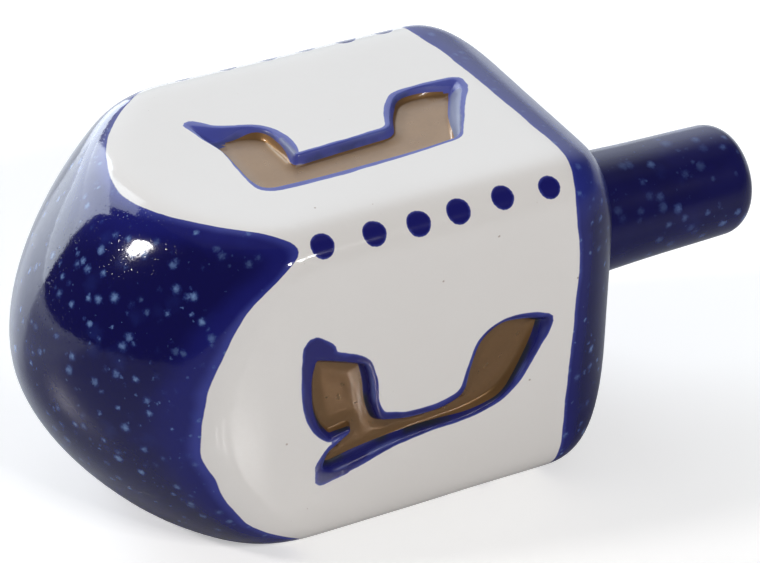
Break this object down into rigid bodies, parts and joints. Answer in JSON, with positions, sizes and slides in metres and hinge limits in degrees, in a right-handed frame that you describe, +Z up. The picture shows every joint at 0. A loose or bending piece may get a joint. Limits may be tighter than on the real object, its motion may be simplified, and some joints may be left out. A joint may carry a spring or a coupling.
{
  "type": "ceramic dreidel",
  "caption": "Four-sided glazed ceramic spinning top with a sunk letter on each side, a rounded nose, a soft shoulder and a tapered finger stem, lying on one side.",
  "frame": {"origin": "on the surface the top lies on, under the middle of its whole length", "axes": "+X along the spin axis from the nose to the stem, +Z up, -Y out of the side seen in front"},
  "size_m": [0.126, 0.056, 0.056],
  "materials": {
    "white_glaze": "glossy",
    "cobalt_glaze": "glossy",
    "thin_glaze": "glossy",
    "gold_wash": "satin"
  },
  "bodies": {
    "root": {"body": "white_glaze", "stem": "cobalt_glaze", "slip_ring": "thin_glaze"}
  },
  "joints": []
}
